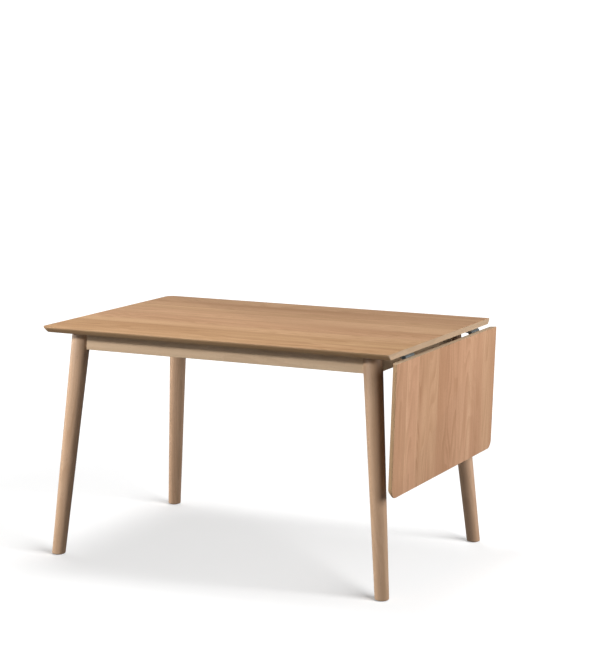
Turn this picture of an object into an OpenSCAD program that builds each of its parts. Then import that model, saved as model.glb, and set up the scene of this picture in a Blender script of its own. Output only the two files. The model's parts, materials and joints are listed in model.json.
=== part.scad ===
// Drop-leaf dining table: a fixed top on four splayed round legs, and one leaf that hangs
// at the right end on two self-locking steel hinges.
// Millimetres, +Z up, +X towards the leaf, the floor at z = 0.

/* [Top] */
// Length of the fixed top along X, without the leaf
top_length = 1200; // [1000:10:1600]
// Width of the top and of the leaf along Y
top_width = 800; // [660:10:1000]
// Height of the top surface above the floor
table_height = 740; // [600:5:900]
// Thickness of the top and leaf boards
board_thickness = 18; // [15:0.5:30]
// Thickness of the face veneer
veneer_thickness = 0.6; // [0.4:0.1:1.5]
// Upright land left above the under-bevel
edge_land = 4.5; // [3:0.5:8]
// Inward run of the under-bevel
bevel_run = 12.5; // [4:0.5:16]
// Plan radius of the free corners
corner_radius = 28; // [20:1:60]
// Width of the solid edge lippings
lipping_width = 28; // [22:1:45]
// Thickness of the band on both joint edges
joint_band = 3; // [2:0.5:6]

/* [Leaf] */
// Length of the drop leaf, joint edge to free edge
leaf_length = 400; // [250:10:520]
// Gap between the top and the raised leaf
joint_gap = 0.6; // [0.4:0.1:2]
// Angle that the leaf turns from raised to hanging
leaf_drop = 92; // [88:0.5:93]

/* [Legs] */
// Distance from the top's edges to each leg's centre, at the underside
leg_inset = 95; // [92:1:140]
// Outward lean of a leg, the same along X and along Y
leg_splay = 5; // [1:0.5:6]
// Leg diameter at the underside of the top
leg_top_diameter = 60; // [50:1:72]
// Leg diameter at the floor
leg_foot_diameter = 43; // [34:1:52]
// Rounding of the foot's lower edge
foot_round = 3; // [1:0.5:5]
// Diameter of a foot glide
glide_diameter = 30; // [20:1:36]
// Height of a foot glide below the wood
glide_height = 2; // [1.5:0.5:5]

/* [Frame] */
// Height of the aprons
apron_height = 59; // [48:1:90]
// Thickness of the aprons and of the cross rail
apron_thickness = 22; // [18:1:28]
// Height of the cross rail
rail_height = 45; // [36:1:60]
// Diameter of the wood dowels
dowel_diameter = 8; // [6:1:10]
// Length of the wood dowels
dowel_length = 40; // [30:1:50]
// Height of the corner blocks
block_height = 44; // [38:1:60]
// Diagonal reach of a corner block, from the aprons' inner corner
block_reach = 40; // [34:1:50]
// Diameter of the hanger bolts
bolt_diameter = 8; // [6:1:10]
// Distance of the fixing brackets on the long aprons from the middle
bracket_x = 280; // [120:10:380]
// Distance of the fixing brackets on the end aprons from the middle
bracket_y = 130; // [80:10:180]

/* [Hinges] */
// Distance from the middle of the table to each hinge's middle
hinge_y = 262; // [180:1:280]
// Width of a hinge along its pin
hinge_width = 65; // [55:1:110]
// Length of each hinge plate away from the pin
plate_length = 52; // [46:1:60]
// Thickness of the hinge plates
plate_thickness = 2; // [1.5:0.1:2.5]
// Depth of the hinge pin's axis below the underside of the boards
hinge_drop = 7; // [5:0.1:8]
// Diameter of a hinge pin
pin_diameter = 4; // [3:0.5:5]
// Radial running clearance of pins in their moving bores
running_clearance = 0.05; // [0.02:0.01:0.1]
// Width of a lock lever
lever_width = 10; // [8:0.5:14]
// Reach of a lock lever from its pivot to its finger tab
lever_reach = 53; // [48:1:56]

/* [Hidden] */
$fn = 48;

// Colours
veneer_tan = "#bd9268";
oak_beige = "#c2a27c";
core_brown = "#a98a66";
steel_grey = "#9aa3a8";
glide_dark = "#4a443e";

// Levels
underside = table_height - board_thickness;
apron_bottom = underside - apron_height;
apron_middle = underside - apron_height / 2;

// The pin axis is on the top's joint edge, a little below the underside.
hinge_x = top_length / 2;
hinge_z = underside - hinge_drop;

// The hanging leaf stands out past the top, and the origin is under the middle of both.
leaf_overhang = joint_gap * cos(leaf_drop) + (hinge_drop + board_thickness) * sin(leaf_drop);
middle_shift = leaf_overhang / 2;

// Clearances and margins
glue_line = 0.1;
hardware_gap = 0.3;
reach_past = 1;
wide = 4 * corner_radius;

// Legs
leg_top_x = top_length / 2 - leg_inset;
leg_top_y = top_width / 2 - leg_inset;
leg_slope = tan(leg_splay);
leg_tilt = atan(sqrt(2) * leg_slope);
leg_overrun = 20;
leg_foot_r = leg_foot_diameter / 2;
leg_top_r = leg_top_diameter / 2;
glide_lip = 0.8;
nail_length = 14;
nail_r = 1.2;
function leg_out(z) = (underside - z) * leg_slope;
function leg_axis_x(z) = leg_top_x + leg_out(z);
function leg_axis_y(z) = leg_top_y + leg_out(z);

// Aprons stand on the legs' centre lines, at half of their own height.
apron_x = leg_axis_x(apron_middle);
apron_y = leg_axis_y(apron_middle);
apron_inner_x = apron_x - apron_thickness / 2;
apron_inner_y = apron_y - apron_thickness / 2;

// Dowels and bolts
dowel_r = dowel_diameter / 2;
dowel_edge = 12;
bolt_r = bolt_diameter / 2;
bolt_wall = 0.8;
bolt_clearance = 0.4;
bolt_end = 3;
washer_r = 2 * bolt_r;
washer_t = 1.6;
nut_r = 1.85 * bolt_r;
nut_t = 0.8 * bolt_diameter;
bolt_pitch = 2 * washer_r + 1;
// A dowel stops short of the bolts that cross it inside the leg.
dowel_tip = dowel_r + sqrt(2) * (bolt_r + bolt_wall);
rail_dowel_cover = 4;

// Corner blocks
block_front = 6;

// Brackets and their screws
bracket_arm = 30;
bracket_width = 20;
bracket_t = 2;
bracket_hole = 19;
screw_r = 1.8;
screw_hole_r = 2.3;
screw_head_r = 3.6;
screw_head_t = 2;
screw_length = 14;
screw_cross = [0.8, 4.4, 1];
pilot_length = screw_length - bracket_t;

// Hinges
knuckles = 5;
knuckle_r = hinge_drop - 0.5;
knuckle_pitch = hinge_width / knuckles;
knuckle_slack = 0.25;
notch_reach = knuckle_r + hardware_gap;
pin_r = pin_diameter / 2;
plate_low = hinge_drop - plate_thickness;
// Stop lugs hang from the fixed knuckles, and the flap comes to rest just off them.
stop_bearing = 4.2;
stop_drop = notch_reach + stop_bearing;
stop_gap = 0.3;
stop_x = (plate_low - stop_gap + stop_drop * cos(leaf_drop)) / sin(leaf_drop);
stop_back = -2;
hinge_screw_x = [14, plate_length - 11];
hinge_screw_y = hinge_width / 2 - 11;
hinge_screw_length = 14;
hinge_screw_head_r = 3.8;
countersink_gap = 0.1;

// Lock levers turn on their own pin, behind the knuckles and under the fixed plate.
lever_pivot_x = -21;
lever_pivot_z = -0.5;
lever_boss_r = plate_low - lever_pivot_z - 0.5;
lever_pin_r = 1.5;
lever_pin_head_r = 2.4;
lever_pin_head_t = 1;
lever_arm_top = -2.3;
lever_arm_t = 2.5;
lever_arm_fall = 1.5;
lever_tab_t = 3;
lever_tab_drop = 10;
lever_end_x = lever_pivot_x - lever_reach;
lever_end_top = lever_arm_top - lever_arm_fall;
ear_t = 2;
ear_r = 4;
spring_turns = 6;
spring_wire_r = 0.45;
spring_r = lever_pin_r + running_clearance + spring_wire_r;
spring_pitch = 1.8 * spring_wire_r;
spring_span = spring_turns * spring_pitch + 2 * spring_wire_r;
ear_front_y = -lever_width / 2 - hardware_gap;
ear_back_y = lever_width / 2 + spring_span + 2 * hardware_gap;
// The nose waits just outside the knuckle, on this line from the pin's axis.
nose_angle = 205;
nose_r = knuckle_r + hardware_gap;
catch_depth = 1.2;
catch_width = 3;

// ---------- shared shapes ----------

// A board from its joint edge at x = 0 to its free edge, underside at z = 0, bevelled
// below on three sides.
module board_outline(length) {
    straight = length - corner_radius;
    side = top_width / 2 - corner_radius;
    translate([0, -top_width / 2]) square([straight, top_width]);
    translate([0, -side]) square([length, 2 * side]);
    for (s = [-1, 1]) translate([straight, s * side]) circle(r = corner_radius);
}

module board_blank(length) {
    bevel_height = board_thickness - edge_land;
    body_top = board_thickness - veneer_thickness;
    half = top_width / 2;
    side = half - corner_radius;
    straight = length - corner_radius;
    translate([0, 0, bevel_height])
        linear_extrude(height = body_top - bevel_height) board_outline(length);
    rotate([90, 0, 90]) linear_extrude(height = straight)
        polygon([[-half + bevel_run, 0], [half - bevel_run, 0],
                 [half, bevel_height], [-half, bevel_height]]);
    translate([0, side, 0]) rotate([90, 0, 0]) linear_extrude(height = 2 * side)
        polygon([[0, 0], [length - bevel_run, 0], [length, bevel_height], [0, bevel_height]]);
    for (s = [-1, 1]) translate([straight, s * side, 0])
        cylinder(h = bevel_height, r1 = corner_radius - bevel_run, r2 = corner_radius);
}

module board_core(length) {
    width = top_width - 2 * lipping_width;
    translate([joint_band, -width / 2, 0])
        cube([length - joint_band - lipping_width, width, board_thickness - veneer_thickness]);
}

module board_veneer(length) {
    translate([0, 0, board_thickness - veneer_thickness])
        linear_extrude(height = veneer_thickness) board_outline(length);
}

// side is -1 for the front edge and 1 for the back edge.
module board_side_lipping(length, side) {
    half = top_width / 2;
    intersection() {
        board_blank(length);
        linear_extrude(height = board_thickness)
            polygon([[joint_band, side * half], [length, side * half],
                     [length - lipping_width, side * (half - lipping_width)],
                     [joint_band, side * (half - lipping_width)]]);
    }
}

module board_end_lipping(length) {
    half = top_width / 2;
    intersection() {
        board_blank(length);
        linear_extrude(height = board_thickness)
            polygon([[length, -half], [length, half],
                     [length - lipping_width, half - lipping_width],
                     [length - lipping_width, -half + lipping_width]]);
    }
}

module board_joint_band(length) {
    intersection() {
        board_blank(length);
        translate([0, -top_width / 2, 0]) cube([joint_band, top_width, board_thickness]);
    }
}

// A round-headed screw: head below z = 0, shank upwards.
module round_screw() {
    difference() {
        union() {
            translate([0, 0, -screw_head_t]) cylinder(h = screw_head_t, r = screw_head_r);
            cylinder(h = screw_length, r = screw_r);
        }
        for (a = [0, 90]) rotate([0, 0, a])
            translate([0, 0, -screw_head_t])
                cube([screw_cross[0], screw_cross[1], 2 * screw_cross[2]], center = true);
    }
}

// A countersunk screw with its head inside the plate, from z = 0 upwards.
module flat_screw() {
    difference() {
        union() {
            cylinder(h = plate_thickness, r1 = hinge_screw_head_r, r2 = screw_r);
            cylinder(h = hinge_screw_length, r = screw_r);
        }
        for (a = [0, 90]) rotate([0, 0, a])
            cube([screw_cross[0], screw_cross[1], 2 * screw_cross[2]], center = true);
    }
}

// ---------- placing ----------

module in_frame() {
    translate([-middle_shift, 0, 0]) children();
}

module as_top() {
    in_frame() translate([hinge_x, 0, underside]) mirror([1, 0, 0]) children();
}

// Turns what is drawn as on the raised leaf down to the hanging leaf.
module hung() {
    in_frame() translate([hinge_x, 0, hinge_z]) rotate([0, leaf_drop, 0]) children();
}

module as_leaf() {
    hung() translate([joint_gap, 0, hinge_drop]) children();
}

// side is -1 for the front hinge and 1 for the back one.
module at_hinge(side) {
    in_frame() translate([hinge_x, side * hinge_y, hinge_z]) children();
}

module at_hung_hinge(side) {
    hung() translate([0, side * hinge_y, 0]) children();
}

module along_y(from, to) {
    translate([0, from, 0]) rotate([-90, 0, 0]) linear_extrude(height = to - from) children();
}

// A profile drawn in X and Z, drawn out along Y.
module profile_y(from, to) {
    translate([0, to, 0]) rotate([90, 0, 0]) linear_extrude(height = to - from) children();
}

module each_corner() {
    for (sx = [0, 1], sy = [0, 1]) mirror([sx, 0, 0]) mirror([0, sy, 0]) children();
}

// ---------- legs ----------

// The leg's cone about its leaning axis, drawn for the corner at +X +Y.
module leg_cone(extra) {
    run = (underside + 2 * leg_overrun) / cos(leg_tilt);
    taper = (leg_top_r - leg_foot_r) * leg_overrun / underside;
    translate([leg_axis_x(-leg_overrun), leg_axis_y(-leg_overrun), -leg_overrun])
        rotate([0, -leg_tilt, 45])
            cylinder(h = run, r1 = leg_foot_r - taper + extra, r2 = leg_top_r + taper + extra,
                     $fn = 96);
}

// Heights of the two dowels in a joint whose lower edge is at bottom.
function dowel_levels(bottom) = [underside - dowel_edge, bottom + dowel_edge];

// The dowels between a long apron and the leg at +X +Y.
module long_dowels() {
    for (z = dowel_levels(apron_bottom))
        translate([leg_axis_x(z) - dowel_tip, apron_y, z]) rotate([0, -90, 0])
            cylinder(h = dowel_length, r = dowel_r);
}

// The dowels between an end apron and the leg at +X +Y.
module end_dowels() {
    for (z = dowel_levels(apron_bottom))
        translate([apron_x, leg_axis_y(z) - dowel_tip, z]) rotate([90, 0, 0])
            cylinder(h = dowel_length, r = dowel_r);
}

// The dowels between the cross rail and the back apron.
module rail_dowels() {
    tip = apron_y + apron_thickness / 2 - rail_dowel_cover;
    for (z = dowel_levels(underside - rail_height))
        translate([0, tip, z]) rotate([90, 0, 0]) cylinder(h = dowel_length, r = dowel_r);
}

// Distance from the leg's axis to the inner face of the corner block, on the diagonal.
function block_face(z) = (leg_axis_x(z) - apron_inner_x) * sqrt(2) + block_reach;

// Draws its children at both bolts, with +Z along the bolt from the leg's axis inwards.
module at_bolts() {
    for (z = [apron_middle - bolt_pitch / 2, apron_middle + bolt_pitch / 2])
        translate([leg_axis_x(z), leg_axis_y(z), z]) rotate([0, -90, 45])
            translate([0, 0, block_face(z)]) children();
}

module bolt_rods(radius) {
    back = block_face(apron_middle) - bolt_r - bolt_wall;
    at_bolts() translate([0, 0, -back])
        cylinder(h = back + washer_t + nut_t + bolt_end, r = radius);
}

module leg_solid() {
    foot_x = leg_axis_x(0);
    foot_y = leg_axis_y(0);
    outer = leg_foot_r / cos(leg_tilt);
    difference() {
        intersection() {
            leg_cone(0);
            union() {
                translate([foot_x - wide, foot_y - wide, glide_height + foot_round])
                    cube([2 * wide, 2 * wide, underside - glide_height - foot_round]);
                translate([foot_x, foot_y, glide_height]) {
                    cylinder(h = foot_round, r = outer - foot_round);
                    rotate_extrude() translate([outer - foot_round, foot_round])
                        circle(r = foot_round);
                }
            }
        }
        long_dowels();
        end_dowels();
        bolt_rods(bolt_r);
        at_glide() glide_nail();
    }
}

module at_glide() {
    translate([leg_axis_x(0), leg_axis_y(0), 0]) children();
}

module glide_nail() {
    cylinder(h = glide_height + nail_length, r = nail_r);
}

module glide_solid() {
    r = glide_diameter / 2;
    at_glide() {
        rotate_extrude()
            polygon([[0, 0], [r - glide_lip, 0], [r, glide_lip], [r, glide_height],
                     [0, glide_height]]);
        glide_nail();
    }
}

// sx and sy are 1 for the right and back sides, and -1 for the left and front sides.
module at_corner(sx, sy) {
    in_frame() mirror([sx < 0 ? 1 : 0, 0, 0]) mirror([0, sy < 0 ? 1 : 0, 0]) children();
}

module leg(sx, sy) {
    color(oak_beige) at_corner(sx, sy) leg_solid();
}

module glide(sx, sy) {
    color(glide_dark) at_corner(sx, sy) glide_solid();
}

// ---------- frame ----------

module apron_long(side) {
    color(oak_beige) in_frame() mirror([0, side < 0 ? 1 : 0, 0]) difference() {
        translate([-leg_top_x, apron_inner_y, apron_bottom])
            cube([2 * leg_top_x, apron_thickness, apron_height]);
        for (m = [0, 1]) mirror([m, 0, 0]) {
            leg_cone(glue_line);
            long_dowels();
        }
        rail_dowels();
        for (x = [-bracket_x, bracket_x]) translate([x, apron_inner_y, underside])
            rotate([0, 0, -90]) bracket_pilots();
    }
}

module apron_end(side) {
    color(oak_beige) in_frame() mirror([side < 0 ? 1 : 0, 0, 0]) difference() {
        translate([apron_inner_x, -leg_top_y, apron_bottom])
            cube([apron_thickness, 2 * leg_top_y, apron_height]);
        for (m = [0, 1]) mirror([0, m, 0]) {
            leg_cone(glue_line);
            end_dowels();
        }
        for (y = [-bracket_y, bracket_y]) translate([apron_inner_x, y, underside])
            rotate([0, 0, 180]) bracket_pilots();
    }
}

module cross_rail() {
    color(oak_beige) in_frame() difference() {
        translate([-apron_thickness / 2, -apron_inner_y, underside - rail_height])
            cube([apron_thickness, 2 * apron_inner_y, rail_height]);
        for (m = [0, 1]) mirror([0, m, 0]) rail_dowels();
    }
}

module corner_block(sx, sy) {
    near = block_front * sqrt(2);
    far = block_reach * sqrt(2);
    color(core_brown) at_corner(sx, sy) difference() {
        translate([apron_inner_x, apron_inner_y, apron_middle - block_height / 2])
            linear_extrude(height = block_height)
                polygon([[-near, 0], [-far, 0], [0, -far], [0, -near]]);
        leg_cone(glue_line);
        bolt_rods(bolt_r + bolt_clearance);
    }
}

module dowels() {
    color(core_brown) in_frame() {
        each_corner() {
            long_dowels();
            end_dowels();
        }
        for (m = [0, 1]) mirror([0, m, 0]) rail_dowels();
    }
}

module hanger_bolts() {
    color(steel_grey) in_frame() each_corner() bolt_rods(bolt_r);
}

module bolt_washers() {
    color(steel_grey) in_frame() each_corner() at_bolts() difference() {
        cylinder(h = washer_t, r = washer_r);
        translate([0, 0, -reach_past]) cylinder(h = washer_t + 2 * reach_past, r = bolt_r);
    }
}

module bolt_nuts() {
    color(steel_grey) in_frame() each_corner() at_bolts() translate([0, 0, washer_t])
        difference() {
            cylinder(h = nut_t, r = nut_r, $fn = 6);
            translate([0, 0, -reach_past]) cylinder(h = nut_t + 2 * reach_past, r = bolt_r);
        }
}

// A bracket's corner is its origin: one arm runs along +X under the top, and the other
// hangs down on the apron at x = 0.
module bracket() {
    difference() {
        union() {
            translate([0, -bracket_width / 2, -bracket_t])
                cube([bracket_arm, bracket_width, bracket_t]);
            translate([0, -bracket_width / 2, -bracket_arm])
                cube([bracket_t, bracket_width, bracket_arm]);
        }
        translate([bracket_hole, 0, -bracket_t - reach_past])
            cylinder(h = bracket_t + 2 * reach_past, r = screw_hole_r);
        translate([-reach_past, 0, -bracket_hole]) rotate([0, 90, 0])
            cylinder(h = bracket_t + 2 * reach_past, r = screw_hole_r);
    }
}

module bracket_screw_pair() {
    translate([bracket_hole, 0, -bracket_t]) round_screw();
    translate([bracket_t, 0, -bracket_hole]) rotate([0, -90, 0]) round_screw();
}

module bracket_pilots() {
    translate([bracket_hole, 0, 0]) cylinder(h = pilot_length, r = screw_r);
    translate([0, 0, -bracket_hole]) rotate([0, -90, 0])
        cylinder(h = pilot_length, r = screw_r);
}

module at_brackets() {
    for (s = [-1, 1], x = [-bracket_x, bracket_x])
        translate([x, s * apron_inner_y, underside]) rotate([0, 0, -90 * s]) children();
    for (s = [0, 1], y = [-bracket_y, bracket_y])
        mirror([s, 0, 0]) translate([apron_inner_x, y, underside])
            rotate([0, 0, 180]) children();
}

module top_brackets() {
    color(steel_grey) in_frame() at_brackets() bracket();
}

module bracket_screws() {
    color(steel_grey) in_frame() at_brackets() bracket_screw_pair();
}

// ---------- boards ----------

module top_core() {
    color(core_brown) difference() {
        as_top() board_core(top_length);
        in_frame() at_brackets() bracket_pilots();
        for (side = [-1, 1]) at_hinge(side) hinge_pilots(-1);
    }
}

module top_veneer() {
    color(veneer_tan) as_top() board_veneer(top_length);
}

module top_lipping_side(side) {
    color(oak_beige) as_top() board_side_lipping(top_length, side);
}

module top_lipping_end() {
    color(oak_beige) as_top() board_end_lipping(top_length);
}

module top_joint_band() {
    color(oak_beige) as_top() board_joint_band(top_length);
}

module leaf_core() {
    color(core_brown) difference() {
        as_leaf() board_core(leaf_length);
        for (side = [-1, 1]) at_hung_hinge(side) hinge_pilots(1);
    }
}

module leaf_veneer() {
    color(veneer_tan) as_leaf() board_veneer(leaf_length);
}

module leaf_lipping_side(side) {
    color(oak_beige) as_leaf() board_side_lipping(leaf_length, side);
}

module leaf_lipping_end() {
    color(oak_beige) as_leaf() board_end_lipping(leaf_length);
}

module leaf_joint_band() {
    color(oak_beige) as_leaf() board_joint_band(leaf_length);
}

// ---------- hinges ----------
// Hinges are drawn about the pin's axis: +X along the raised leaf, plates just above.

function knuckle_start(i) = -hinge_width / 2 + i * knuckle_pitch;

// Knuckles 1 and 3 belong to the fixed plate, and 0, 2 and 4 to the flap.
module knuckle_row(first) {
    for (i = [first : 2 : knuckles - 1])
        translate([0, knuckle_start(i) + knuckle_slack, 0]) rotate([-90, 0, 0])
            cylinder(h = knuckle_pitch - 2 * knuckle_slack, r = knuckle_r);
}

module knuckle_notches(first) {
    for (i = [first : 2 : knuckles - 1])
        translate([-notch_reach, knuckle_start(i) - knuckle_slack, 0])
            cube([2 * notch_reach, knuckle_pitch + 2 * knuckle_slack, 2 * hinge_drop]);
}

module pin_hole(radius) {
    translate([0, -hinge_width / 2 - reach_past, 0]) rotate([-90, 0, 0])
        cylinder(h = hinge_width + 2 * reach_past, r = radius);
}

// out is -1 for the fixed plate and 1 for the flap.
module at_hinge_screws(out) {
    for (x = hinge_screw_x, y = [-hinge_screw_y, hinge_screw_y])
        translate([out * x, y, plate_low]) children();
}

module hinge_pilots(out) {
    at_hinge_screws(out) cylinder(h = hinge_screw_length, r = screw_r);
}

module countersinks(out) {
    at_hinge_screws(out) {
        cylinder(h = plate_thickness, r1 = hinge_screw_head_r + countersink_gap,
                 r2 = screw_r + countersink_gap);
        cylinder(h = plate_thickness + reach_past, r = screw_r + countersink_gap);
    }
}

module stop_lugs() {
    for (i = [1, 3]) translate([stop_back, knuckle_start(i) + knuckle_slack, -stop_drop])
        cube([stop_x - stop_back, knuckle_pitch - 2 * knuckle_slack, stop_drop]);
}

module lever_ears() {
    for (y = [ear_front_y - ear_t, ear_back_y]) {
        translate([lever_pivot_x, y, lever_pivot_z]) rotate([-90, 0, 0])
            cylinder(h = ear_t, r = ear_r);
        translate([lever_pivot_x - ear_r, y, lever_pivot_z])
            cube([2 * ear_r, ear_t, plate_low - lever_pivot_z + plate_thickness / 2]);
    }
}

module lever_axis(from, to, radius) {
    translate([lever_pivot_x, from, lever_pivot_z]) rotate([-90, 0, 0])
        cylinder(h = to - from, r = radius);
}

module hinge_plate(side) {
    color(steel_grey) at_hinge(side) difference() {
        union() {
            difference() {
                translate([-plate_length, -hinge_width / 2, plate_low])
                    cube([plate_length, hinge_width, plate_thickness]);
                knuckle_notches(0);
            }
            knuckle_row(1);
            stop_lugs();
            lever_ears();
        }
        pin_hole(pin_r);
        lever_axis(ear_front_y - ear_t - reach_past, ear_back_y + ear_t + reach_past,
                   lever_pin_r);
        countersinks(-1);
    }
}

module hinge_flap(side) {
    color(steel_grey) at_hung_hinge(side) difference() {
        union() {
            difference() {
                translate([joint_gap, -hinge_width / 2, plate_low])
                    cube([plate_length - joint_gap, hinge_width, plate_thickness]);
                knuckle_notches(1);
            }
            knuckle_row(0);
        }
        pin_hole(pin_r + running_clearance);
        countersinks(1);
        catch_notch();
    }
}

// The lever's nose faces this notch in the middle knuckle once the leaf is raised.
module catch_notch() {
    rotate([0, -nose_angle, 0])
        translate([knuckle_r - catch_depth, -knuckle_pitch / 2, -catch_width / 2])
            cube([2 * catch_depth, knuckle_pitch, catch_width]);
}

module hinge_pin(side) {
    head_r = pin_r + 0.8;
    head_t = 1.2;
    color(steel_grey) at_hinge(side) {
        translate([0, -hinge_width / 2, 0]) rotate([-90, 0, 0])
            cylinder(h = hinge_width, r = pin_r);
        for (y = [-hinge_width / 2 - head_t, hinge_width / 2])
            translate([0, y, 0]) rotate([-90, 0, 0]) cylinder(h = head_t, r = head_r);
    }
}

module hinge_plate_screws() {
    color(steel_grey) for (side = [-1, 1]) at_hinge(side) at_hinge_screws(-1) flat_screw();
}

module hinge_flap_screws() {
    color(steel_grey) for (side = [-1, 1]) at_hung_hinge(side) at_hinge_screws(1) flat_screw();
}

module lock_lever(side) {
    tip = nose_r * [cos(nose_angle), sin(nose_angle)];
    half = lever_width / 2;
    color(steel_grey) at_hinge(side) difference() {
        union() {
            lever_axis(-half, half, lever_boss_r);
            profile_y(-half, half)
                polygon([[lever_pivot_x, lever_pivot_z + lever_boss_r - 0.4],
                         tip + [-0.8, 2.2], tip, tip + [-0.9, -2.3],
                         [lever_pivot_x, lever_pivot_z - lever_boss_r]]);
            profile_y(-half, half)
                polygon([[lever_pivot_x, lever_arm_top],
                         [lever_pivot_x, lever_arm_top - lever_arm_t],
                         [lever_end_x + lever_tab_t, lever_end_top - lever_arm_t],
                         [lever_end_x + lever_tab_t, lever_end_top - lever_tab_drop],
                         [lever_end_x, lever_end_top - lever_tab_drop],
                         [lever_end_x, lever_end_top]]);
        }
        lever_axis(-half - reach_past, half + reach_past, lever_pin_r + running_clearance);
    }
}

module lever_pin(side) {
    from = ear_front_y - ear_t;
    to = ear_back_y + ear_t;
    color(steel_grey) at_hinge(side) {
        lever_axis(from, to, lever_pin_r);
        lever_axis(from - lever_pin_head_t, from, lever_pin_head_r);
        lever_axis(to, to + lever_pin_head_t, lever_pin_head_r);
    }
}

// A close-wound spring on the lever's pin, drawn as touching turns.
module lever_spring(side) {
    start = lever_width / 2 + hardware_gap + spring_wire_r;
    color(steel_grey) at_hinge(side)
        translate([lever_pivot_x, start, lever_pivot_z]) rotate([-90, 0, 0])
            rotate_extrude() for (i = [0 : spring_turns])
                translate([spring_r, i * spring_pitch]) circle(r = spring_wire_r, $fn = 24);
}

top_core();
top_veneer();
top_lipping_side(-1);  // top_lipping_front
top_lipping_side(1);  // top_lipping_back
top_lipping_end();
top_joint_band();
apron_long(-1);  // apron_front
apron_long(1);  // apron_back
apron_end(-1);  // apron_left
apron_end(1);  // apron_right
cross_rail();
leg(-1, -1);  // leg_front_left
leg(1, -1);  // leg_front_right
leg(-1, 1);  // leg_back_left
leg(1, 1);  // leg_back_right
glide(-1, -1);  // glide_front_left
glide(1, -1);  // glide_front_right
glide(-1, 1);  // glide_back_left
glide(1, 1);  // glide_back_right
corner_block(-1, -1);  // corner_block_front_left
corner_block(1, -1);  // corner_block_front_right
corner_block(-1, 1);  // corner_block_back_left
corner_block(1, 1);  // corner_block_back_right
dowels();
hanger_bolts();
bolt_washers();
bolt_nuts();
top_brackets();
bracket_screws();
hinge_plate(-1);  // hinge_plate_front
hinge_plate(1);  // hinge_plate_back
hinge_pin(-1);  // hinge_pin_front
hinge_pin(1);  // hinge_pin_back
hinge_plate_screws();
lock_lever(-1);  // lock_lever_front
lock_lever(1);  // lock_lever_back
lever_pin(-1);  // lever_pin_front
lever_pin(1);  // lever_pin_back
lever_spring(-1);  // lever_spring_front
lever_spring(1);  // lever_spring_back
leaf_core();
leaf_veneer();
leaf_lipping_side(-1);  // leaf_lipping_front
leaf_lipping_side(1);  // leaf_lipping_back
leaf_lipping_end();
leaf_joint_band();
hinge_flap(-1);  // hinge_flap_front
hinge_flap(1);  // hinge_flap_back
hinge_flap_screws();
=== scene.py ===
"""Drop-leaf dining table: its finished look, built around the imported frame.

Everything is in metres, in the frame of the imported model: +X runs along the table towards
the hanging leaf, +Y across it towards the back, and the floor is at z = 0.
"""

import json
import logging
import math
from dataclasses import dataclass, field, replace
from enum import Enum
from typing import Callable, Iterable, Optional, Sequence, Union

import bmesh
import bpy
from mathutils import Matrix, Vector


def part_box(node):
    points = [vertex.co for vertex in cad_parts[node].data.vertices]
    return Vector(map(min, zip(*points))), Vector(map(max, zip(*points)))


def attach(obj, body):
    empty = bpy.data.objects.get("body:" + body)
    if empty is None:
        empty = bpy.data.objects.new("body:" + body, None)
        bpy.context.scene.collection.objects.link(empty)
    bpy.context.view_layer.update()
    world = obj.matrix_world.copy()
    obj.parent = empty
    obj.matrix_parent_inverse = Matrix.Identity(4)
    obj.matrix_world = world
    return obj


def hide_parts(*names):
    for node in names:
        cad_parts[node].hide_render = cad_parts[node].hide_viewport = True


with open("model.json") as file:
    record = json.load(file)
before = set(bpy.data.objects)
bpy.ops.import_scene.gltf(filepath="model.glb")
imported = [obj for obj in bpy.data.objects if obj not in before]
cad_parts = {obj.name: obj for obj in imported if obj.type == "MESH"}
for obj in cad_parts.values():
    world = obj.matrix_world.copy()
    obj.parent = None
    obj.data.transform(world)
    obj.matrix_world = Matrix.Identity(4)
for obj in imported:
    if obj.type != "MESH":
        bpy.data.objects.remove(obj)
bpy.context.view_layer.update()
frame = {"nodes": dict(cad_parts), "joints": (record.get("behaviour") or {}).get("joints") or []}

log = logging.getLogger("drop_leaf_table")

Colour = tuple[float, float, float]
Number = Union[float, "Wire"]

SMOOTH_LIMIT = math.radians(20.0)
SAME_PLACE = 1e-5
MERGE_GAP = 1e-6
ON_PLANE = 1e-7
WHITE = (1.0, 1.0, 1.0, 1.0)
JOINT_GAP = 0.0006
LEAF_LENGTH = 0.4


# ---------------------------------------------------------------- shader building


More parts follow.
